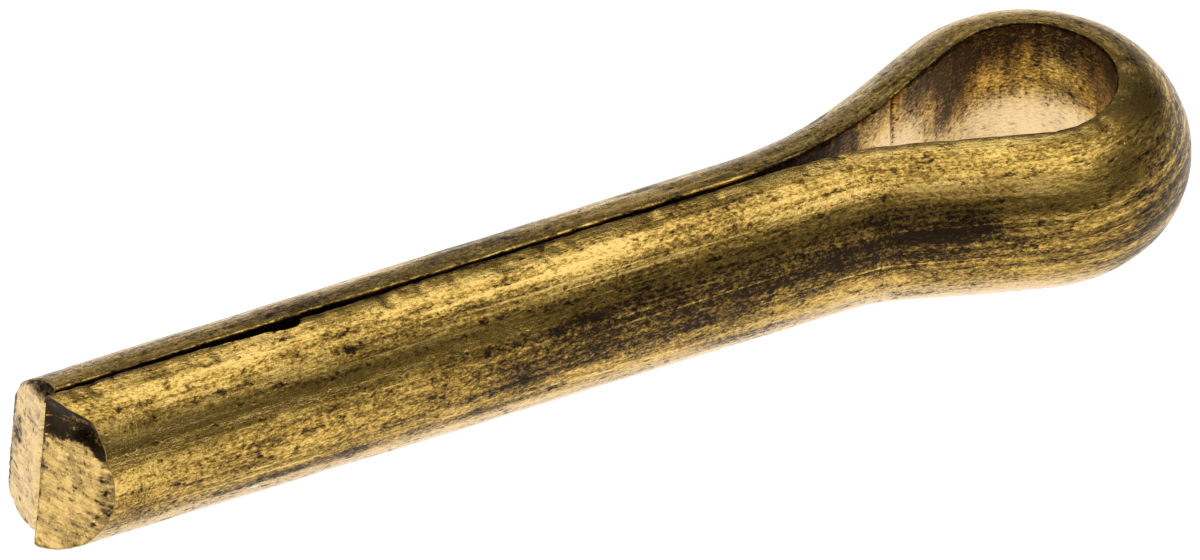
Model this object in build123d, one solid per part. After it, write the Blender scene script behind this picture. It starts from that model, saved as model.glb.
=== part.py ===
from build123d import *
import math
import os

# Split pin, folded from one length of half-round brass wire. Millimetres.
# The shank runs along X with its tip at -X, and the eye is at +X.
# The flat sides of the two legs face each other across the plane Y = 0, and the wire's width
# stands along Z, so the pin lies flat on a surface.
# The origin is on the shank's axis where the eye begins, and the shank's length is measured from it.
# The leg at +Y ends in a nearly square cut and is called the square leg.
# The leg at -Y ends in a slanted cut and is called the bevelled leg.

# Wire
wire_width = 2.20  # across the flat side
wire_thickness = 0.93  # from the flat side to the crown of the round back
edge_rounding = 0.06  # radius where the flat side meets the round back

# Shank
shank_length = 10.10  # from the tip to where the eye begins
tip_gap = 0.03  # between the two flat sides at the tip
square_leg_lean = 0.23  # degrees: how far the square leg opens towards the eye
bevelled_leg_lean = 0.38  # degrees: how far the bevelled leg opens towards the eye

# Eye. The necks are the bends where the legs turn out into it, measured on the flat side.
eye_reach = 3.12  # from where the eye begins to the centre of its round end
eye_offset = 0.20  # of that centre, towards the square leg
eye_inner_radius = 1.06  # of the flat side, inside the round end
square_flank_angle = 25.5  # degrees between the shank and the straight flank on the square side
bevelled_flank_angle = 19.0  # degrees between the shank and the straight flank on the bevelled side
square_neck_radius = 5.60
bevelled_neck_radius = 2.05

# Cut ends
bevel_angle = 26.0  # degrees: the bevelled leg's end leans back from square, towards its crown
crown_cut_angle = 55.0  # degrees from square: the small cut at the crown of the square leg's end
crown_cut_depth = 0.15  # of that small cut, measured on the end face from the crown

# Nick in the bevelled leg's upper edge, where the seam stands open
nick_start = 1.75  # from the tip to its shallow end
nick_length = 1.55  # along the shank
nick_depth = 0.13  # into the flat side, at its deep end
nick_height = 0.45  # down from the top of the wire

SQUARE_SIDE = 1
BEVELLED_SIDE = -1


def heading(degrees):
    """Unit vector in the XY plane."""
    angle = math.radians(degrees)
    return Vector(math.cos(angle), math.sin(angle))


def crossing(point_a, direction_a, point_b, direction_b):
    """Where two straight lines in the XY plane cross."""
    gap = point_b - point_a
    turn = direction_a.X * direction_b.Y - direction_a.Y * direction_b.X
    along_a = (gap.X * direction_b.Y - gap.Y * direction_b.X) / turn
    return point_a + direction_a * along_a


def leg_tip(side):
    """The end of one leg's flat side."""
    return Vector(-shank_length, side * tip_gap / 2)


def side_line(side, lean, flank_angle, neck_radius):
    """The flat side's line on one side of the pin: straight leg, neck bend and straight flank."""
    eye_centre = Vector(eye_reach, eye_offset)
    leg_direction = heading(side * lean)
    flank_direction = heading(side * flank_angle)
    outward = heading(side * (flank_angle + 90))
    flank_end = eye_centre + outward * eye_inner_radius
    corner = crossing(leg_tip(side), leg_direction, flank_end, flank_direction)
    setback = neck_radius * math.tan(math.radians(flank_angle - lean) / 2)
    neck_start = corner - leg_direction * setback
    neck_end = corner + flank_direction * setback
    leg = Line(leg_tip(side), neck_start)
    neck = TangentArc(neck_start, neck_end, tangent=leg_direction)
    flank = Line(neck_end, flank_end)
    return [leg, neck, flank]


def flat_side_line():
    """The flat side's whole line, from the square leg's tip round the eye to the other tip."""
    square = side_line(SQUARE_SIDE, square_leg_lean, square_flank_angle, square_neck_radius)
    bevelled = side_line(BEVELLED_SIDE, bevelled_leg_lean, bevelled_flank_angle, bevelled_neck_radius)
    eye_end = Vector(eye_reach + eye_inner_radius, eye_offset)
    round_end = ThreePointArc(square[-1] @ 1, eye_end, bevelled[-1] @ 1)
    return Wire(square + [round_end] + bevelled)


def wire_section():
    """Half-round section at the square leg's tip, with its crown away from the other leg."""
    at_tip = Plane(
        origin=leg_tip(SQUARE_SIDE),
        x_dir=heading(square_leg_lean + 90),
        z_dir=heading(square_leg_lean),
    )
    lower_edge = Vector(0, -wire_width / 2)
    crown = Vector(wire_thickness, 0)
    upper_edge = Vector(0, wire_width / 2)
    back = ThreePointArc(lower_edge, crown, upper_edge)
    flat = Line(upper_edge, lower_edge)
    outline = fillet(Face(Wire([back, flat])).vertices(), edge_rounding)
    return at_tip * outline


def end_waste(position, direction):
    """A block that holds everything beyond a cut. The direction points into the waste."""
    size = 2 * wire_width
    block = Box(size, size, size, align=(Align.CENTER, Align.CENTER, Align.MIN))
    return Plane(origin=position, z_dir=direction) * block


def bevel_waste():
    """The bevelled leg's slanted cut starts on its flat side and takes its whole end."""
    return end_waste(leg_tip(BEVELLED_SIDE), heading(180 + bevel_angle))


def crown_waste():
    """The square leg's end loses only a little of its crown."""
    cut_start = leg_tip(SQUARE_SIDE) + Vector(0, wire_thickness - crown_cut_depth)
    return end_waste(cut_start, heading(180 - crown_cut_angle))


def nick_waste():
    """A wedge that deepens away from the tip and stops with a step."""
    shallow_x = nick_start - shank_length
    deep_x = shallow_x + nick_length
    flat_at_shallow = -tip_gap / 2 - nick_start * math.tan(math.radians(bevelled_leg_lean))
    shallow_end = (shallow_x, flat_at_shallow)
    deep_end = (deep_x, flat_at_shallow - nick_depth)
    outline = Polyline((shallow_x, 0), shallow_end, deep_end, (deep_x, 0), close=True)
    wedge = Pos(0, 0, wire_width / 2 - nick_height) * make_face(outline)
    return extrude(wedge, nick_height)


def split_pin():
    wire = sweep(wire_section(), path=flat_side_line())
    return wire - bevel_waste() - crown_waste() - nick_waste()


os.makedirs("parts", exist_ok=True)
pin = split_pin()
export_step(pin, "parts/split_pin.step")
print("split_pin:", len(pin.solids()), "solid,", round(pin.volume, 3), "cubic mm, valid", pin.is_valid)
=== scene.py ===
import bpy
import math
import numpy as np
from mathutils import Matrix, Vector, noise


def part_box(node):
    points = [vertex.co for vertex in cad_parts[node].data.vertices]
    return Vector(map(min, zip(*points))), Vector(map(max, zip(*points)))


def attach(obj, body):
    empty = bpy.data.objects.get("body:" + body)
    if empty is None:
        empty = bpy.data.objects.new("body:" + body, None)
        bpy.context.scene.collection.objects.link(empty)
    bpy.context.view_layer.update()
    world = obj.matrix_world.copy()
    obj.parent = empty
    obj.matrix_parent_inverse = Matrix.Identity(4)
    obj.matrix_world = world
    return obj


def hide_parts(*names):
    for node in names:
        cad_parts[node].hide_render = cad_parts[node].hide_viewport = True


# A split pin folded from half-round brass wire, lying on a white table.
# The wire is one skin: its outline is carried along the folded line, and the draw lines, pits,
# nicks and cut ends are worked into that mesh.

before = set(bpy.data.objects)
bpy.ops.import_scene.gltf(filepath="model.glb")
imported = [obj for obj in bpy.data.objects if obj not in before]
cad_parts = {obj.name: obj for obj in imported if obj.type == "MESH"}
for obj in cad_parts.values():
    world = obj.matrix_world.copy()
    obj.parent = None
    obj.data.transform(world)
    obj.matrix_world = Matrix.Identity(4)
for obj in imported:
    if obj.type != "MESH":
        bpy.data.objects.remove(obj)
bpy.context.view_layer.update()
pinLow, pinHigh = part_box("split_pin")
pinCentre = (pinLow + pinHigh) / 2
mm = 0.001

# ---- camera ----
cameraSetup = {
    "azimuth": -27.96,  # degrees, 0 looks along +Y
    "elevation": 38.68,
    "roll": 1.08,
    "distance": 238.4 * mm,
    "lens": 600,  # a long lens, so the pin shows almost no perspective
    "aimRight": -0.135 * mm,  # of the pin's centre
    "aimUp": -0.026 * mm,
}


def makeCamera(setup):
    azimuth = math.radians(setup["azimuth"])
    elevation = math.radians(setup["elevation"])
    roll = math.radians(setup["roll"])
    level = Vector((math.cos(azimuth), math.sin(azimuth), 0))
    back = Vector((
        math.sin(azimuth) * math.cos(elevation),
        -math.cos(azimuth) * math.cos(elevation),
        math.sin(elevation),
    ))
    steep = back.cross(level)
    right = level * math.cos(roll) + steep * math.sin(roll)
    up = back.cross(right)
    place = pinCentre + right * setup["aimRight"] + up * setup["aimUp"] + back * setup["distance"]
    data = bpy.data.cameras.new("pinCamera")
    data.lens = setup["lens"]
    data.sensor_width = 36
    data.clip_start = 0.01
    data.clip_end = 2
    camera = bpy.data.objects.new("pinCamera", data)
    camera.matrix_world = Matrix.Translation(place) @ Matrix((right, up, back)).transposed().to_4x4()
    bpy.context.scene.collection.objects.link(camera)
    bpy.context.scene.camera = camera


makeCamera(cameraSetup)
print("camera placed")

# ---- the folded line of the wire's flat side ----
pinFold = {
    "wireThickness": 0.93 * mm,
    "tipGap": 0.03 * mm,
    "squareLean": 0.23,  # degrees that each leg opens towards the eye
    "bevelledLean": 0.38,
    "squareFlank": 25.5,  # degrees between the shank and each flank of the eye
    "bevelledFlank": 19.0,
    "squareNeck": 5.60 * mm,  # bend radius where each leg turns out
    "bevelledNeck": 2.05 * mm,
    "bendEase": 0.10 * mm,  # how softly the straights run into the bends
    "stations": 700,  # outlines along the wire
}


def heading(degrees):
    return np.array((math.cos(math.radians(degrees)), math.sin(math.radians(degrees))))


def crossing(pointA, directionA, pointB, directionB):
    gap = pointB - pointA
    turn = directionA[0] * directionB[1] - directionA[1] * directionB[0]
    return pointA + directionA * (gap[0] * directionB[1] - gap[1] * directionB[0]) / turn


def sideLengths(fold, side, lean, flank, neckRadius, tip, eyeCentre, eyeRadius):
    # straight leg, neck bend and straight flank of one side, from its tip
    legWay = heading(side * lean)
    flankWay = heading(side * flank)
    flankEnd = eyeCentre + heading(side * (flank + 90)) * eyeRadius
    corner = crossing(tip, legWay, flankEnd, flankWay)
    bend = math.radians(flank - lean)
    setback = neckRadius * math.tan(bend / 2)
    leg = np.linalg.norm(corner - tip) - setback
    straight = np.linalg.norm(flankEnd - corner) - setback
    return leg, neckRadius * bend, straight


def softened(values, spread, step):
    reach = int(4 * spread / step)
    offsets = np.arange(-reach, reach + 1) * step
    weights = np.exp(-((offsets / spread) ** 2) / 2)
    before = values[0] - (values[1] - values[0]) * np.arange(reach, 0, -1)
    after = values[-1] + (values[-1] - values[-2]) * np.arange(1, reach + 1)
    longer = np.concatenate((before, values, after))
    return np.convolve(longer, weights / weights.sum(), mode="valid")


def foldedLine(fold):
    # from the square leg's tip, round the eye, to the bevelled leg's tip
    halfGap = fold["tipGap"] / 2
    eyeRadius = (pinHigh.y - pinLow.y) / 2 - fold["wireThickness"]
    eyeCentre = np.array((pinHigh.x - fold["wireThickness"] - eyeRadius, pinCentre.y))
    squareTip = np.array((pinLow.x, halfGap))
    bevelledTip = np.array((pinLow.x, -halfGap))
    legA, neckA, flankA = sideLengths(
        fold, 1, fold["squareLean"], fold["squareFlank"], fold["squareNeck"],
        squareTip, eyeCentre, eyeRadius)
    legB, neckB, flankB = sideLengths(
        fold, -1, fold["bevelledLean"], fold["bevelledFlank"], fold["bevelledNeck"],
        bevelledTip, eyeCentre, eyeRadius)
    eyeTurn = -(180 + fold["squareFlank"] + fold["bevelledFlank"])
    eyeLength = eyeRadius * math.radians(-eyeTurn)
    lengths = (legA, neckA, flankA, eyeLength, flankB, neckB, legB)
    turns = (0, fold["squareFlank"] - fold["squareLean"], 0, eyeTurn, 0,
             fold["bevelledFlank"] - fold["bevelledLean"], 0)
    alongEnds = np.concatenate(((0,), np.cumsum(lengths)))
    headings = fold["squareLean"] + np.concatenate(((0,), np.cumsum(turns)))
    step = 0.005 * mm
    along = np.arange(0, alongEnds[-1], step)
    angle = np.radians(np.interp(along + step / 2, alongEnds, headings))
    x = squareTip[0] + np.concatenate(((0,), np.cumsum(np.cos(angle[:-1]) * step)))
    y = squareTip[1] + np.concatenate(((0,), np.cumsum(np.sin(angle[:-1]) * step)))
    x = softened(x, fold["bendEase"], step)
    y = softened(y, fold["bendEase"], step)
    stops = np.linspace(0, along[-1], fold["stations"])
    line = np.stack((np.interp(stops, along, x), np.interp(stops, along, y)), 1)
    way = np.gradient(line, axis=0)
    way /= np.linalg.norm(way, axis=1)[:, None]
    return stops, line, way, alongEnds


# ---- the wire's outline: a flat side and a round back ----
wireOutline = {
    "points": 128,
    "cornerRounding": 0.028 * mm,
    "cornerCrowding": 2.5,  # how much closer the points stand at the two corners
}


def roundOutline(outline, thickness, halfWidth):
    # starts in the middle of the flat side and goes up it; out is away from the flat side
    flatUp = np.linspace(0, 1, 120, endpoint=False)
    backAngle = np.linspace(0, math.pi, 400, endpoint=False)
    flatBack = np.linspace(-1, 0, 120, endpoint=False)
    out = np.concatenate((flatUp * 0, np.sin(backAngle) * thickness, flatBack * 0))
    rise = np.concatenate((flatUp, np.cos(backAngle), flatBack)) * halfWidth
    perimeter = np.concatenate(((0,), np.cumsum(np.hypot(np.diff(out), np.diff(rise)))))
    total = perimeter[-1] + math.hypot(out[0] - out[-1], rise[0] - rise[-1])
    even = np.arange(0, total, 0.004 * mm)
    outEven = np.interp(even, perimeter, out, period=total)
    riseEven = np.interp(even, perimeter, rise, period=total)
    offsets = np.arange(-40, 41) * 0.004 * mm
    weights = np.exp(-((offsets / outline["cornerRounding"]) ** 2) / 2)
    weights /= weights.sum()
    outSoft = sum(w * np.roll(outEven, k) for w, k in zip(weights, range(-40, 41)))
    riseSoft = sum(w * np.roll(riseEven, k) for w, k in zip(weights, range(-40, 41)))
    outSoft = (outSoft - outSoft.min()) * thickness / (outSoft.max() - outSoft.min())
    riseSoft *= halfWidth / riseSoft.max()
    upperCorner = even[np.argmax(riseSoft - outSoft)]
    lowerCorner = even[np.argmax(-riseSoft - outSoft)]
    nearest = np.minimum(abs(even - upperCorner), abs(even - lowerCorner))
    density = 1 + outline["cornerCrowding"] * np.exp(-((nearest / (0.09 * mm)) ** 2))
    share = np.concatenate(((0,), np.cumsum(density)))
    wanted = np.arange(outline["points"]) / outline["points"] * share[-1]
    place = np.interp(wanted, share[:-1], even)
    section = np.stack((np.interp(place, even, outSoft), np.interp(place, even, riseSoft)), 1)
    ahead = np.roll(section, -1, 0) - np.roll(section, 1, 0)
    normal = np.stack((ahead[:, 1], -ahead[:, 0]), 1)
    normal /= -np.linalg.norm(normal, axis=1)[:, None]
    return section, normal, place
stops, line, way, bendEnds = foldedLine(pinFold)
section, sectionNormal, around = roundOutline(wireOutline, pinFold["wireThickness"], pinHigh.z)
stationCount = len(stops)
aroundCount = len(section)
fromSquareTip = stops[:, None]
fromBevelledTip = (stops[-1] - stops)[:, None]
out = np.tile(section[:, 0], (stationCount, 1))  # away from the flat side
rise = np.tile(section[:, 1], (stationCount, 1))  # along the wire's width
outNormal = np.tile(sectionNormal[:, 0], (stationCount, 1))
riseNormal = np.tile(sectionNormal[:, 1], (stationCount, 1))
dirtAndShade = np.zeros_like(out)  # dark dirt and painted shade, read by the brass
print("wire folded:", stationCount, "outlines of", aroundCount, "points")


def smooth(low, high, values):
    share = np.clip((values - low) / (high - low), 0, 1)
    return share * share * (3 - 2 * share)


def hump(values, middle, width):
    return np.exp(-(((values - middle) / width) ** 2))


def ripple(alongSize, acrossSize, seed):
    # smooth noise on the wire, stretched along it
    u = np.broadcast_to(fromSquareTip, out.shape).ravel() / alongSize
    v = section[:, 0][None, :].repeat(stationCount, 0).ravel() / acrossSize + seed
    w = section[:, 1][None, :].repeat(stationCount, 0).ravel() / acrossSize - seed
    values = [noise.noise((a, b, c)) for a, b, c in zip(u, v, w)]
    return np.array(values).reshape(out.shape)


# where each point lies round the back, in degrees: 0 at the upper edge, 180 at the lower one
backAngle = np.degrees(np.arctan2(out / pinFold["wireThickness"], rise / pinHigh.z))
onFlat = out < 0.035 * mm
onEyeFlat = onFlat * smooth(bendEnds[1], bendEnds[1] + 0.5 * mm, fromSquareTip)
onEyeFlat = onEyeFlat * (1 - smooth(bendEnds[6] - 0.5 * mm, bendEnds[6], fromSquareTip))

# ---- unevenness of drawn and handled wire ----
skinWear = {
    "lumps": 0.010 * mm,
    "drawLines": 0.0030 * mm,
    "grain": 0.0024 * mm,
    "edgeNibbles": 0.024 * mm,  # bites out of the upper edges beside the seam
    "pits": 1100,
    "pitDepth": 0.016 * mm,
    "seed": 11,
}


def wearSkin(wear):
    rng = np.random.default_rng(wear["seed"])
    relief = wear["lumps"] * ripple(0.9 * mm, 0.45 * mm, 3.7)
    relief += wear["drawLines"] * ripple(2.4 * mm, 0.11 * mm, 8.1) * ~onFlat
    relief += wear["grain"] * ripple(0.16 * mm, 0.10 * mm, 14.9)
    upperEdge = smooth(0.90, 0.99, rise / pinHigh.z) * (out < 0.25 * mm)
    relief -= wear["edgeNibbles"] * upperEdge * np.clip(ripple(0.22 * mm, 3 * mm, 21.3), 0, 1)
    darkening = np.zeros_like(out)
    for pit in range(wear["pits"]):
        u = rng.uniform(0, stops[-1])
        v = rng.uniform(0.18, 0.82) * around[-1]
        size = rng.uniform(0.016, 0.040) * mm * (1 + 0.8 * (rng.random() > 0.95))
        stretch = rng.uniform(1.0, 2.6)
        depth = wear["pitDepth"] * rng.uniform(0.3, 1.0) * size / (0.04 * mm)
        rows = slice(*np.searchsorted(stops, (u - 3 * size * stretch, u + 3 * size * stretch)))
        columns = slice(*np.searchsorted(around, (v - 3 * size, v + 3 * size)))
        far = ((stops[rows, None] - u) / (size * stretch)) ** 2 + ((around[None, columns] - v) / size) ** 2
        dip = np.exp(-far * 1.2)
        relief[rows, columns] -= depth * dip
        darkening[rows, columns] += dip * rng.uniform(0.1, 0.8)
    return relief, darkening


relief, pitDirt = wearSkin(skinWear)
dirtAndShade += pitDirt
print("skin worn:", skinWear["pits"], "pits")

# ---- the nick that lets daylight into the seam ----
seamNick = {
    "start": 1.70 * mm,  # from the bevelled leg's tip
    "length": 1.62 * mm,
    "depth": 0.13 * mm,
    "height": 0.42 * mm,
}


def openSeam(nick):
    along = (fromBevelledTip - nick["start"]) / nick["length"]
    depth = nick["depth"] * np.clip(along, 0, 1) * (1 - smooth(0.96, 1.0, along))
    depth = depth * (1 + 0.35 * ripple(0.22 * mm, 2 * mm, 5.3))
    inNick = smooth(pinHigh.z - nick["height"], pinHigh.z - nick["height"] * 0.6, rise)
    wanted = depth * inNick * (fromBevelledTip < 5 * mm)
    # the cut-in nick is darkened: painted shade in the opened seam
    return np.maximum(out, wanted), (wanted > out) * 0.8


out, nickShade = openSeam(seamNick)
dirtAndShade += nickShade

# ---- marks inside the eye: creases and scratches on the flat side ----
eyeMarks = (
    # along from the square tip, width, depth, lean, all in mm
    (11.68, 0.045, 0.035, 0.02),
    (12.34, 0.030, 0.016, 0.05),
    (12.95, 0.020, 0.010, 0.45),
    (14.60, 0.020, 0.006, 0.00),
    (16.90, 0.030, 0.006, 0.10),
)


def markEye(marks):
    dips = np.zeros_like(out)
    for along, width, depth, lean in marks:
        away = fromSquareTip / mm - along - lean * rise / mm - 0.02 * np.sin(rise / mm * 5)
        dips = dips + depth * mm * hump(away, 0, width) * onFlat
    return dips


creases = markEye(eyeMarks)
relief -= creases
# the creases are darkened by their depth: painted shade
dirtAndShade += 0.9 * creases / (0.035 * mm)

# ---- cut ends ----
cutEnds = {
    "lean": 0.074,  # how far both ends lean out towards the bottom
    "leanTop": 0.97 * mm,
    "bevel": 0.488,  # slope of the bevelled end
    "shoulderDepth": 0.15 * mm,
    "hollow": 0.07 * mm,  # dip in the dark shoulder
    "crownCut": 0.73 * mm,  # where the square end's crown is cut away
    "crownSlope": 1.1,
    "topCut": 0.88 * mm,  # where the square end's top is rolled down
    "topSlope": 0.5,
    "roll": 0.06 * mm,  # how far the square end's rim is rolled over
    "rollWidth": 0.09 * mm,
    "boxier": 1.1,  # how square the square end's lower corner is pushed
    "burr": 0.052 * mm,  # metal that the cutter dragged down at the bevelled end's foot
    "lift": 0.08 * mm,  # how far the square end's foot is pushed up beside the seam
    "dragRun": 0.8 * mm,
    "run": 1.3 * mm,  # length of leg over which the outlines lean into the cut
    "rings": 20,  # rows of faces across each end
}


def dragEnds(ends):
    # the cutter's push fills out the lower corners of both legs near their tips
    nearSquare = 1 - smooth(0, ends["dragRun"], fromSquareTip)
    nearBevelled = 1 - smooth(0, ends["dragRun"], fromBevelledTip)
    boxiness = 2 + ends["boxier"] * nearSquare * smooth(90, 135, backAngle)
    angle = np.radians(backAngle)
    fuller = (np.abs(np.sin(angle)) ** boxiness + np.abs(np.cos(angle)) ** boxiness) ** (-1 / boxiness)
    lowFlat = smooth(-0.55, -1.0, rise / pinHigh.z)
    lifted = ends["lift"] * lowFlat * hump(out, 0, 0.16 * mm) * nearSquare
    burr = ends["burr"] * lowFlat * hump(out, 0, 0.30 * mm) * nearBevelled
    return out * fuller, rise * fuller + lifted - burr


out, rise = dragEnds(cutEnds)


# ---- upper edges that lean over the seam ----
seamLips = {
    "depth": 0.030 * mm,
    "rises": (3.5 * mm, 6 * mm),  # from either tip
    "fades": (9.6 * mm, 10.8 * mm),
    "angles": (4, 16),  # round the back, in degrees
}


def closeLips(lips):
    fromTip = np.minimum(fromSquareTip, fromBevelledTip)
    along = smooth(*lips["rises"], fromTip) * (1 - smooth(*lips["fades"], fromTip))
    return out - lips["depth"] * along * (1 - smooth(*lips["angles"], backAngle))


out = closeLips(seamLips)


def endLean(rise):
    return -cutEnds["lean"] * (cutEnds["leanTop"] - rise)


def ridgeHeight(out):
    # the line between the golden cut and the dark shoulder above it, in mm
    return 0.47 + 0.16 * smooth(0, 0.5 * mm, out) - 0.25 * smooth(0.55 * mm, 0.9 * mm, out)


def bevelledSetback(out, rise, inset):
    above = rise / mm - ridgeHeight(out)
    shoulder = smooth(0, 0.35, above) * smooth(0.25 * mm, 0.62 * mm, out)
    hollow = cutEnds["hollow"] * np.sin(math.pi * np.clip(above / 0.55, 0, 1)) * smooth(0, 0.1 * mm, inset)
    rollOver = 0.5 * smooth(0.70 * mm, 0.93 * mm, out) * smooth(-0.9, -0.1, rise / mm)
    slope = endLean(rise) + cutEnds["bevel"] * out
    return slope + cutEnds["shoulderDepth"] * np.maximum(shoulder, rollOver) + hollow


def squareSetback(out, rise, inset):
    crown = np.maximum(0, out - cutEnds["crownCut"]) * cutEnds["crownSlope"]
    top = np.maximum(0, rise - cutEnds["topCut"]) * cutEnds["topSlope"]
    rim = smooth(-0.2 * mm, 0.1 * mm, out) * (1 - smooth(0, cutEnds["rollWidth"], inset))
    return endLean(rise) + crown + top + cutEnds["roll"] * rim


def bevelledDirtAndShade(out, rise, inset):
    # painted shade on the shoulder above the ridge; the crown is darker towards the back, and dirt runs
    # along the rim
    shoulder = smooth(-0.04, 0.05, rise / mm - ridgeHeight(out))
    crown = 0.55 * smooth(0.66 * mm, 0.82 * mm, out) * smooth(-0.9, -0.2, rise / mm)
    edge = 0.5 * (1 - smooth(0.02 * mm, 0.09 * mm, inset))
    return np.maximum(np.maximum(shoulder, crown), edge)


def squareDirt(out, rise, inset):
    edge = 0.7 * (1 - smooth(0.03 * mm, 0.10 * mm, inset)) * smooth(0.10 * mm, 0.25 * mm, out)
    crown = 0.7 * smooth(0.62 * mm, 0.70 * mm, out)
    patch = 0.8 * hump(out, 0.60 * mm, 0.20 * mm) * hump(rise, 0.10 * mm, 0.34 * mm)
    top = 0.8 * smooth(cutEnds["topCut"], cutEnds["topCut"] + 0.08 * mm, rise)
    return np.maximum(np.maximum(edge, patch), np.maximum(crown, top))


def endGrain(out, rise, depth, seed):
    # torn metal with marks running across the end
    values = [
        noise.noise((a * 3.5, b * 15, seed)) + 0.6 * noise.noise((a * 16, b * 24, seed))
        for a, b in zip((out / mm).ravel(), (rise / mm).ravel())
    ]
    return depth * np.array(values).reshape(out.shape)


def placed(station, out, rise, slide):
    # slide moves points along the leg, towards the eye at either end
    inward = 1 if station == 0 else -1
    side = np.array((-way[station][1], way[station][0]))
    x = line[station][0] + side[0] * out + inward * way[station][0] * slide
    y = line[station][1] + side[1] * out + inward * way[station][1] * slide
    return np.stack((x, y, rise), -1)


def capRings(station, setback, darkening, seed):
    rimOut = out[station] + relief[station] * outNormal[station]
    rimRise = rise[station] + relief[station] * riseNormal[station]
    middleOut = 0.36 * mm
    reach = np.hypot(rimOut - middleOut, rimRise)
    points = []
    places = []
    ringDarkening = []
    shares = np.linspace(0, 1, cutEnds["rings"] + 1)[1:-1]
    shares = np.concatenate(((0.02, 0.05), shares[1:], (0.99,)))
    for share in shares:
        ringOut = rimOut + (middleOut - rimOut) * share
        ringRise = rimRise * (1 - share)
        rough = endGrain(ringOut, ringRise, 0.011 * mm, seed) * min(1, share * 12)
        slide = setback(ringOut, ringRise, reach * share) + rough
        points.append(placed(station, ringOut, ringRise, slide))
        places.append(np.stack((np.full(aroundCount, stops[station] + seed * mm), ringOut, ringRise), -1))
        ringDarkening.append(darkening(ringOut, ringRise, reach * share))
    return np.array(points), np.array(places), np.array(ringDarkening)


def wireBody():
    finalOut = out + relief * outNormal
    finalRise = rise + relief * riseNormal
    rim = np.zeros_like(out)
    squareShare = 1 - smooth(0, cutEnds["run"], fromSquareTip)
    bevelledShare = 1 - smooth(0, cutEnds["run"], fromBevelledTip)
    slide = squareSetback(finalOut, finalRise, rim) * squareShare
    slide = slide - bevelledSetback(finalOut, finalRise, rim) * bevelledShare
    side = np.stack((-way[:, 1], way[:, 0]), 1)
    x = line[:, :1] + side[:, :1] * finalOut + way[:, :1] * slide
    y = line[:, 1:] + side[:, 1:] * finalOut + way[:, 1:] * slide
    return np.stack((x, y, finalRise), -1)


# ---- patina and painted light: where the brass is clean, olive, brown or pale, with painted shade and painted reflections ----
# ---- how dark the brass is, from tarnish and painted shade: 0 is clean gold and 1 is dark brown ----
tarnishAndShade = {
    "allOver": 0.37,
    "middleDarkReflection": 0.18,  # painted reflection of the dim room: darker half-way round the back
    "neckBand": 0.62,
    "head": 0.22,
    "farLeg": 0.10,
    # painted reflection of the white table: less tarnish and a pale tint along the underside
    "underside": -0.20,
    "undersideReflection": 0.95,
    "eyeBottom": 0.13,
    # eyeMiddle and eyeTop darken the eye's flat with height: painted shade under the upper rim
    "eyeMiddle": 0.44,
    "eyeTop": 0.46,
    "eyeScuff": 0.30,
    "eyeFlank": -0.50,
    "eyeEnd": -0.16,
    "seam": 0.6,  # dirt and painted shade along the seam's edges
}


def paintPatinaAndShade():
    u = fromSquareTip / mm
    towardsEye = fromBevelledTip / mm
    height = rise / pinHigh.z
    nearLeg = smooth(bendEnds[4] - 1 * mm, bendEnds[4], fromSquareTip)
    head = smooth(bendEnds[3] - 1 * mm, bendEnds[3] + 0.5 * mm, fromSquareTip) * (1 - nearLeg)
    # a painted dark reflection of the dim room, half-way round the back
    level = tarnishAndShade["allOver"] + tarnishAndShade["middleDarkReflection"] * hump(backAngle, 96, 24)
    neckBand = hump(backAngle, 72, 20) * smooth(4, 8, towardsEye) * (1 - smooth(11.5, 13.5, towardsEye))
    level = level + tarnishAndShade["neckBand"] * nearLeg * neckBand
    level = level + tarnishAndShade["head"] * head * hump(backAngle, 85, 50)
    level = level + tarnishAndShade["farLeg"] * (1 - nearLeg) * (1 - head)
    level = level + 0.20 * ripple(1.6 * mm, 0.45 * mm, 33.1) + 0.12 * ripple(0.5 * mm, 0.16 * mm, 27.7)
    # painted reflection of the white table: lighter and paler along the underside
    level = level + tarnishAndShade["underside"] * smooth(116, 152, backAngle) * (1 - head)
    pale = tarnishAndShade["undersideReflection"] * smooth(104, 150, backAngle) * (1 - 0.4 * head)
    # inside the eye, painted reflection and shade: pale at the bottom where the table is mirrored, olive
    # in the middle and painted shade under the upper rim
    eyeLevel = tarnishAndShade["eyeBottom"] + tarnishAndShade["eyeMiddle"] * smooth(-0.25, 0.15, height)
    eyeLevel = eyeLevel + tarnishAndShade["eyeTop"] * smooth(0.25, 0.85, height)
    scuff = hump(u, 12.85, 0.42)
    bareFlank = hump(u, 11.6, 0.66)
    eyeLevel = eyeLevel + tarnishAndShade["eyeScuff"] * scuff + tarnishAndShade["eyeFlank"] * bareFlank
    eyeLevel = eyeLevel + tarnishAndShade["eyeEnd"] * smooth(14.6, 15.6, u)
    eyeLevel = eyeLevel + 0.25 * ripple(0.30 * mm, 0.5 * mm, 19.2)
    eyeLevel = eyeLevel + 0.15 * ripple(0.10 * mm, 1.2 * mm, 47.2)
    # painted reflection of the white table: pale at the bottom of the eye
    eyePale = 0.55 * (1 - smooth(-0.25, 0.20, height)) * (1 - 0.6 * scuff) * (1 - smooth(15.3, 16.0, u))
    eyePale = np.maximum(eyePale, 0.7 * bareFlank * (1 - smooth(0.2, 0.9, height)))
    level = level * (1 - onEyeFlat) + eyeLevel * onEyeFlat
    pale = pale * (1 - onEyeFlat) + eyePale * onEyeFlat
    return np.clip(level, 0, 1), np.clip(pale, 0, 1)


def seamDirtAndShade():
    # grime and painted shade along both legs' upper edges
    alongShank = 1 - smooth(9.5 * mm, 11 * mm, fromBevelledTip)
    ragged = 2 + 3 * ripple(0.4 * mm, 5 * mm, 12.6)
    nearSide = (1 - smooth(ragged, ragged + 4, backAngle)) * alongShank * (fromBevelledTip < 14 * mm)
    farSide = (1 - smooth(0, 3, backAngle)) * (fromSquareTip < 9 * mm)
    return tarnishAndShade["seam"] * (nearSide + farSide)


dirtAndShade += seamDirtAndShade()

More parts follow.
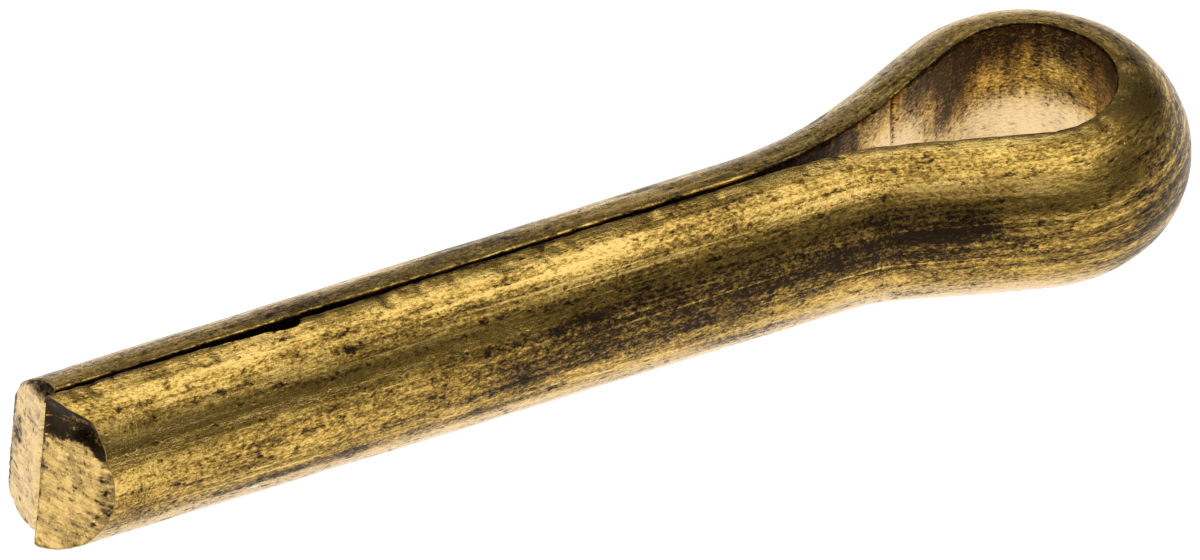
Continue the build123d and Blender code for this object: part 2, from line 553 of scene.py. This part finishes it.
# ---- a few pale flecks of dust ----
dustFlecks = (
    # along from the bevelled tip in mm, angle round the back, length and width in mm, turn in degrees
    (2.35, 121, 0.075, 0.040, 10),
    (2.62, 120, 0.020, 0.020, 0),
    (0.55, 60, 0.018, 0.030, 0),
)


def settleDust(flecks):
    dust = np.zeros_like(out)
    for along, angle, length, width, turn in flecks:
        a = fromBevelledTip / mm - along
        b = np.radians(backAngle - angle)
        cosine = math.cos(math.radians(turn))
        sine = math.sin(math.radians(turn))
        far = ((a * cosine + b * sine) / length) ** 2 + ((b * cosine - a * sine) / width) ** 2
        dust = np.maximum(dust, np.exp(-far) * (fromBevelledTip < 14 * mm) * ~onFlat)
    return dust


dust = settleDust(dustFlecks)
patinaAndShade, paleTintAndReflection = paintPatinaAndShade()
print("patina painted")


def joinRings(ringCount, first):
    # quads between rings that follow each other
    ring = np.arange(aroundCount)
    following = np.roll(ring, -1)
    faces = []
    for row in range(ringCount - 1):
        low = first + row * aroundCount
        high = low + aroundCount
        faces.append(np.stack((low + ring, low + following, high + following, high + ring), 1))
    return np.concatenate(faces)


def addNumbers(mesh, name, values):
    attribute = mesh.attributes.new(name, "FLOAT", "POINT")
    attribute.data.foreach_set("value", np.asarray(values, np.float32).ravel())


endTone = {
    "squarePatina": 0.24,
    "bevelledPatina": 0.39,
    "squarePaleness": 0.32,
    "bevelledPaleness": 0.12,
}


def makeWire():
    body = wireBody()
    squareCap, squarePlaces, squareSoil = capRings(0, squareSetback, squareDirt, 2.5)
    bevelledCap, bevelledPlaces, bevelledCapDirtAndShade = capRings(-1, bevelledSetback, bevelledDirtAndShade, 6.5)
    rows = np.concatenate((squareCap[::-1], body, bevelledCap))
    bodyPlaces = np.stack((np.broadcast_to(fromSquareTip, out.shape), out, rise), -1)
    places = np.concatenate((squarePlaces[::-1], bodyPlaces, bevelledPlaces))
    faces = joinRings(len(rows), 0)[:, ::-1]
    vertices = rows.reshape(-1, 3)
    mesh = bpy.data.meshes.new("splitPinWire")
    faceList = faces.tolist()
    faceList.append(list(range(aroundCount)))
    faceList.append(list(range(len(vertices) - aroundCount, len(vertices)))[::-1])
    mesh.from_pydata(vertices.tolist(), [], faceList)
    mesh.update()
    mesh.polygons.foreach_set("use_smooth", np.ones(len(mesh.polygons), bool))
    mesh.set_sharp_from_angle(angle=math.radians(50))
    wirePlace = mesh.attributes.new("wirePlace", "FLOAT_VECTOR", "POINT")
    wirePlace.data.foreach_set("vector", (places / mm).ravel().astype(np.float32))
    onCap = np.ones(squareSoil.shape)
    offCap = np.zeros(squareSoil.shape)
    addNumbers(mesh, "dirtAndShade", np.concatenate((squareSoil[::-1], np.clip(dirtAndShade, 0, 1), bevelledCapDirtAndShade)))
    addNumbers(mesh, "cutFace", np.concatenate((onCap, np.zeros_like(out), onCap)))
    squarePatina = endTone["squarePatina"] * onCap
    bevelledPatina = endTone["bevelledPatina"] * onCap
    addNumbers(mesh, "patinaAndShade", np.concatenate((squarePatina, patinaAndShade, bevelledPatina)))
    squarePaleness = endTone["squarePaleness"] * onCap
    bevelledPaleness = endTone["bevelledPaleness"] * onCap
    addNumbers(mesh, "paleTintAndReflection", np.concatenate((squarePaleness, paleTintAndReflection, bevelledPaleness)))
    addNumbers(mesh, "eyeFlat", np.concatenate((offCap, onEyeFlat, offCap)))
    addNumbers(mesh, "dust", np.concatenate((offCap, dust, offCap)))
    return mesh


wireMesh = makeWire()
splitPin = bpy.data.objects.new("splitPinWire", wireMesh)
bpy.context.scene.collection.objects.link(splitPin)
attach(splitPin, "root")
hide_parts("split_pin")
triangles = sum(len(face.vertices) - 2 for face in wireMesh.polygons)
print("wire meshed:", triangles, "triangles")


# ---- brass ----
brassFinish = {
    # how dark the metal is, from tarnish and painted shade, and its colour there
    "patinaAndShadeColours": (
        (0.00, (0.90, 0.62, 0.20)),
        (0.28, (0.68, 0.43, 0.100)),
        (0.50, (0.38, 0.235, 0.045)),
        (0.74, (0.165, 0.098, 0.026)),
        (1.00, (0.030, 0.017, 0.008)),
    ),
    "cream": (0.90, 0.70, 0.47, 1),
    "roughness": 0.27,
    "clearFilm": 0.06,  # whitens the metal a little where it is seen edge-on
    "filmRoughness": 0.35,
    "dust": (0.9, 0.9, 0.9, 1),
    "bumpStrength": 0.6,
    "bumpDepth": 0.012 * mm,
}


def makeBrass(finish):
    material = bpy.data.materials.new("tarnishedBrass")
    material.use_nodes = True
    nodes = material.node_tree.nodes
    links = material.node_tree.links
    shader = nodes["Principled BSDF"]

    def attribute(name):
        node = nodes.new("ShaderNodeAttribute")
        node.attribute_name = name
        return node

    def stretched(scale, detail, roughness, offset=(0, 0, 0)):
        # noise along the wire's own directions; the scale is turns per millimetre
        mapping = nodes.new("ShaderNodeMapping")
        mapping.inputs["Scale"].default_value = scale
        mapping.inputs["Location"].default_value = offset
        links.new(place.outputs["Vector"], mapping.inputs["Vector"])
        texture = nodes.new("ShaderNodeTexNoise")
        texture.inputs["Scale"].default_value = 1
        texture.inputs["Detail"].default_value = detail
        texture.inputs["Roughness"].default_value = roughness
        links.new(mapping.outputs["Vector"], texture.inputs["Vector"])
        return texture.outputs["Fac"]

    def ranged(value, low, high, toLow=0.0, toHigh=1.0):
        node = nodes.new("ShaderNodeMapRange")
        node.interpolation_type = "SMOOTHSTEP"
        node.inputs["From Min"].default_value = low
        node.inputs["From Max"].default_value = high
        node.inputs["To Min"].default_value = toLow
        node.inputs["To Max"].default_value = toHigh
        links.new(value, node.inputs["Value"])
        return node.outputs["Result"]

    def combined(operation, first, second):
        node = nodes.new("ShaderNodeMath")
        node.operation = operation
        for socket, value in zip(node.inputs, (first, second)):
            if isinstance(value, (int, float)):
                socket.default_value = value
            else:
                links.new(value, socket)
        return node.outputs["Value"]

    def mixed(factor, first, second):
        node = nodes.new("ShaderNodeMix")
        links.new(factor, node.inputs["Factor"])
        links.new(first, node.inputs["A"])
        links.new(second, node.inputs["B"])
        return node.outputs["Result"]

    def swing(texture, amount):
        # a noise's rise and fall about its middle
        return combined("MULTIPLY", combined("SUBTRACT", texture, 0.5), amount)

    place = attribute("wirePlace")
    dirtAndShadeHere = attribute("dirtAndShade").outputs["Fac"]
    cutHere = attribute("cutFace").outputs["Fac"]
    patinaAndShadeHere = attribute("patinaAndShade").outputs["Fac"]
    paleHere = attribute("paleTintAndReflection").outputs["Fac"]
    flatHere = attribute("eyeFlat").outputs["Fac"]

    drawLines = stretched((0.50, 10, 10), 5, 0.65)
    cutLines = stretched((1, 3.2, 17), 4, 0.6)
    bendLines = stretched((8, 1, 1.1), 4, 0.65)
    calmLines = combined("ADD", 0.5, swing(bendLines, 0.6))
    streaks = mixed(cutHere, mixed(flatHere, drawLines, calmLines), cutLines)
    longStreaks = stretched((0.20, 6, 6), 3, 0.6, (4, 1, 5))
    blotches = stretched((1.6, 3.4, 3.4), 4, 0.62, (3, 7, 1))
    grain = stretched((16, 30, 30), 3, 0.8, (5, 2, 9))
    scratches = stretched((0.16, 17, 17), 1, 0.5, (8, 3, 2))
    specks = stretched((6.5, 10, 10), 2.5, 0.55, (1, 4, 6))
    level = combined("ADD", patinaAndShadeHere, swing(streaks, 1.15))
    offFlat = combined("SUBTRACT", 1, flatHere)
    level = combined("ADD", level, combined("MULTIPLY", swing(longStreaks, 1.0), offFlat))
    level = combined("ADD", level, swing(blotches, 0.75))
    calmCut = combined("SUBTRACT", 1, combined("MULTIPLY", cutHere, 0.5))
    level = combined("ADD", level, combined("MULTIPLY", swing(grain, 2.1), calmCut))
    brightScratches = combined("MULTIPLY", ranged(scratches, 0.66, 0.74, 0, 0.35), offFlat)
    level = combined("SUBTRACT", level, brightScratches)
    level = combined("ADD", level, ranged(specks, 0.57, 0.70, 0, 0.36))
    # darkening from dirt and painted shade, mottled by the specks
    mottledDirtAndShade = combined("ADD", dirtAndShadeHere, swing(specks, 0.9))
    level = combined("ADD", level, ranged(mottledDirtAndShade, 0.18, 0.95, 0, 0.62))
    ramp = nodes.new("ShaderNodeValToRGB")
    stopsNeeded = len(finish["patinaAndShadeColours"]) - len(ramp.color_ramp.elements)
    for extra in range(stopsNeeded):
        ramp.color_ramp.elements.new(0.5)
    for element, (position, colour) in zip(ramp.color_ramp.elements, finish["patinaAndShadeColours"]):
        element.position = position
        element.color = (*colour, 1)
    links.new(level, ramp.inputs["Fac"])
    # cream is the pale tint of the clean cut ends, and the painted reflection of the white table on the
    # underside and low in the eye
    cream = nodes.new("ShaderNodeMix")
    cream.data_type = "RGBA"
    cream.inputs["B"].default_value = finish["cream"]
    links.new(ramp.outputs["Color"], cream.inputs["A"])
    clean = combined("SUBTRACT", 1, ranged(level, 0.45, 0.85))
    links.new(combined("MULTIPLY", paleHere, clean), cream.inputs["Factor"])
    dusty = nodes.new("ShaderNodeMix")
    dusty.data_type = "RGBA"
    dusty.inputs["B"].default_value = finish["dust"]
    dustShare = ranged(combined("ADD", attribute("dust").outputs["Fac"], swing(grain, 0.9)), 0.38, 0.50)
    links.new(cream.outputs["Result"], dusty.inputs["A"])
    links.new(dustShare, dusty.inputs["Factor"])
    links.new(dusty.outputs["Result"], shader.inputs["Base Color"])
    links.new(combined("SUBTRACT", 1, dustShare), shader.inputs["Metallic"])
    shader.inputs["Coat Weight"].default_value = finish["clearFilm"]
    shader.inputs["Coat Roughness"].default_value = finish["filmRoughness"]
    shader.inputs["Coat IOR"].default_value = 1.5
    rough = ranged(level, 0.1, 0.9, finish["roughness"] - 0.04, finish["roughness"] + 0.16)
    links.new(rough, shader.inputs["Roughness"])
    height = combined("ADD", swing(streaks, 0.8), swing(grain, 0.5))
    height = combined("SUBTRACT", height, ranged(specks, 0.57, 0.70, 0, 0.4))
    bump = nodes.new("ShaderNodeBump")
    bump.inputs["Strength"].default_value = finish["bumpStrength"]
    bump.inputs["Distance"].default_value = finish["bumpDepth"]
    links.new(height, bump.inputs["Height"])
    links.new(bump.outputs["Normal"], shader.inputs["Normal"])
    return material


wireMesh.materials.append(makeBrass(brassFinish))
print("brass finished")


# ---- white table and soft light ----
studio = {
    "floorSize": 0.9,
    "floorGlow": 0.95,
    "roomLevel": 0.035,
    "panels": (
        # name, watts, width, depth, place
        ("topLight", 0.41, 0.40, 0.26, (0.02, 0.02, 0.27)),
        ("frontLight", 0.13, 0.40, 0.20, (0.02, -0.24, 0.26)),
        ("backLight", 0.11, 0.50, 0.16, (0.10, 0.36, 0.13)),
        ("sideLight", 0.02, 0.14, 0.14, (0.24, -0.06, 0.09)),
    ),
}


def makeFloor(setup):
    low = min(vertex.co.z for vertex in wireMesh.vertices)
    half = setup["floorSize"] / 2
    mesh = bpy.data.meshes.new("whiteTable")
    corners = [(-half, -half, low), (half, -half, low), (half, half, low), (-half, half, low)]
    mesh.from_pydata(corners, [], [(0, 1, 2, 3)])
    floor = bpy.data.objects.new("whiteTable", mesh)
    bpy.context.scene.collection.objects.link(floor)
    material = bpy.data.materials.new("whiteTable")
    material.use_nodes = True
    shader = material.node_tree.nodes["Principled BSDF"]
    shader.inputs["Base Color"].default_value = (0.3, 0.3, 0.3, 1)
    shader.inputs["Roughness"].default_value = 0.9
    shader.inputs["Emission Color"].default_value = (1, 1, 1, 1)
    shader.inputs["Emission Strength"].default_value = setup["floorGlow"]
    mesh.materials.append(material)


def makePanel(name, watts, width, depth, place):
    data = bpy.data.lights.new(name, "AREA")
    data.shape = "RECTANGLE"
    data.size = width
    data.size_y = depth
    data.energy = watts
    panel = bpy.data.objects.new(name, data)
    panel.location = place
    panel.rotation_euler = (-Vector(place)).to_track_quat("-Z", "Y").to_euler()
    panel.visible_camera = False
    bpy.context.scene.collection.objects.link(panel)


def makeRoom(level):
    # dim for what the brass mirrors, pale where the camera looks past the table
    world = bpy.data.worlds.new("studioRoom")
    world.use_nodes = True
    nodes = world.node_tree.nodes
    links = world.node_tree.links
    background = nodes["Background"]
    path = nodes.new("ShaderNodeLightPath")
    mix = nodes.new("ShaderNodeMix")
    mix.data_type = "RGBA"
    mix.inputs["A"].default_value = (level, level, level, 1)
    mix.inputs["B"].default_value = (1, 1, 1, 1)
    links.new(path.outputs["Is Camera Ray"], mix.inputs["Factor"])
    links.new(mix.outputs["Result"], background.inputs["Color"])
    bpy.context.scene.world = world


makeFloor(studio)
for panel in studio["panels"]:
    makePanel(*panel)
makeRoom(studio["roomLevel"])
bpy.context.scene.view_settings.view_transform = "Standard"
print("table and lights set")
